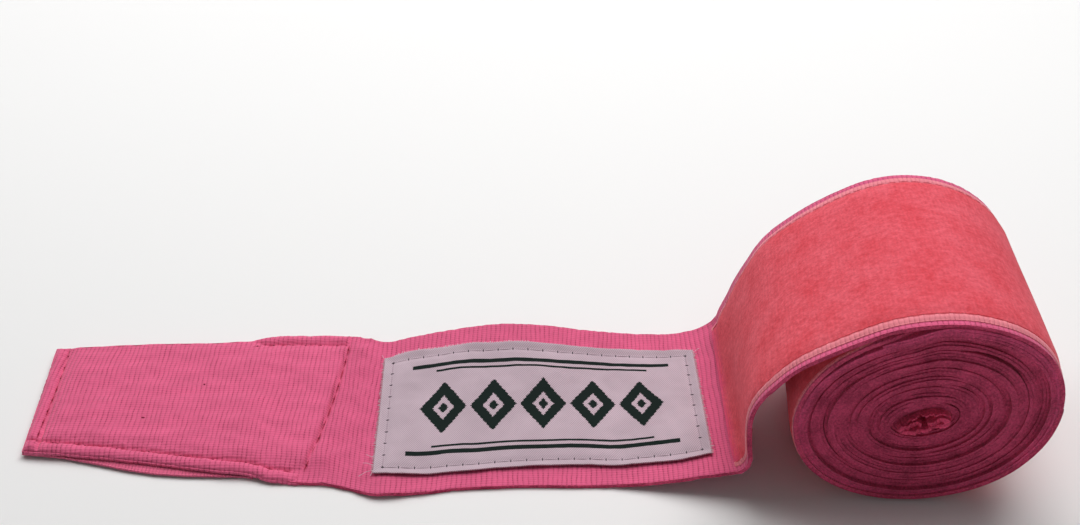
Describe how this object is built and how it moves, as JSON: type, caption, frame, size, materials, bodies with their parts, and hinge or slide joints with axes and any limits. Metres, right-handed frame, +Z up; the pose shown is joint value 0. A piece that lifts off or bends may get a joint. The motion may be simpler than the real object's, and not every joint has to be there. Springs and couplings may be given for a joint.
{
  "type": "hand wrap",
  "caption": "Elastic hand wrap for boxing, partly unrolled: a rolled band, an arch of loop tape, a flat label section and a tapered hook closure tab.",
  "frame": {"origin": "centre of the bounding box, on the surface that the part rests on", "axes": "+X from the closure tab to the roll, +Y across the band, +Z up"},
  "size_m": [0.225, 0.05, 0.0511],
  "materials": {
    "band_knit": "matte ribbed elastic cotton, pink",
    "loop_pile": "brushed loop pile, coral",
    "selvedge": "woven ribbed edge, pale coral",
    "label_weave": "satin woven label, pale lilac",
    "hook_nylon": "moulded nylon hooks on woven backing",
    "thread": "polyester sewing thread, red",
    "label_thread": "polyester sewing thread, grey"
  },
  "bodies": {
    "roll": {"band_wound_turns": "band_knit", "band_outer_turn": "band_knit", "loop_tape": "loop_pile", "loop_selvedge_near": "selvedge", "loop_selvedge_far": "selvedge", "loop_edge_stitch_near": "thread", "loop_edge_stitch_far": "thread", "loop_start_stitch": "thread", "inner_end_hem": "band_knit", "thumb_loop": "band_knit", "thumb_loop_bar_tack": "thread"},
    "label_section": {"band_label_section": "band_knit", "seam_allowance_ply": "band_knit", "cross_seam_stitch": "thread", "woven_label": "label_weave", "label_stitch": "label_thread"},
    "closure_tab": {"tab_upper_ply": "band_knit", "tab_lower_ply": "band_knit", "hook_tape": "hook_nylon", "tab_edge_stitch": "thread", "hook_tape_stitch": "thread"}
  },
  "joints": [
    {"name": "tail_lift", "type": "hinge", "parent": "roll", "child": "label_section", "pos_m": [0.0452, 0, 0.0054], "axis": [0, 1, 0], "range_deg": [0, 90]},
    {"name": "tab_fold", "type": "hinge", "parent": "label_section", "child": "closure_tab", "pos_m": [-0.0618, 0, 0.0026], "axis": [0, 1, 0], "range_deg": [0, 150]}
  ]
}
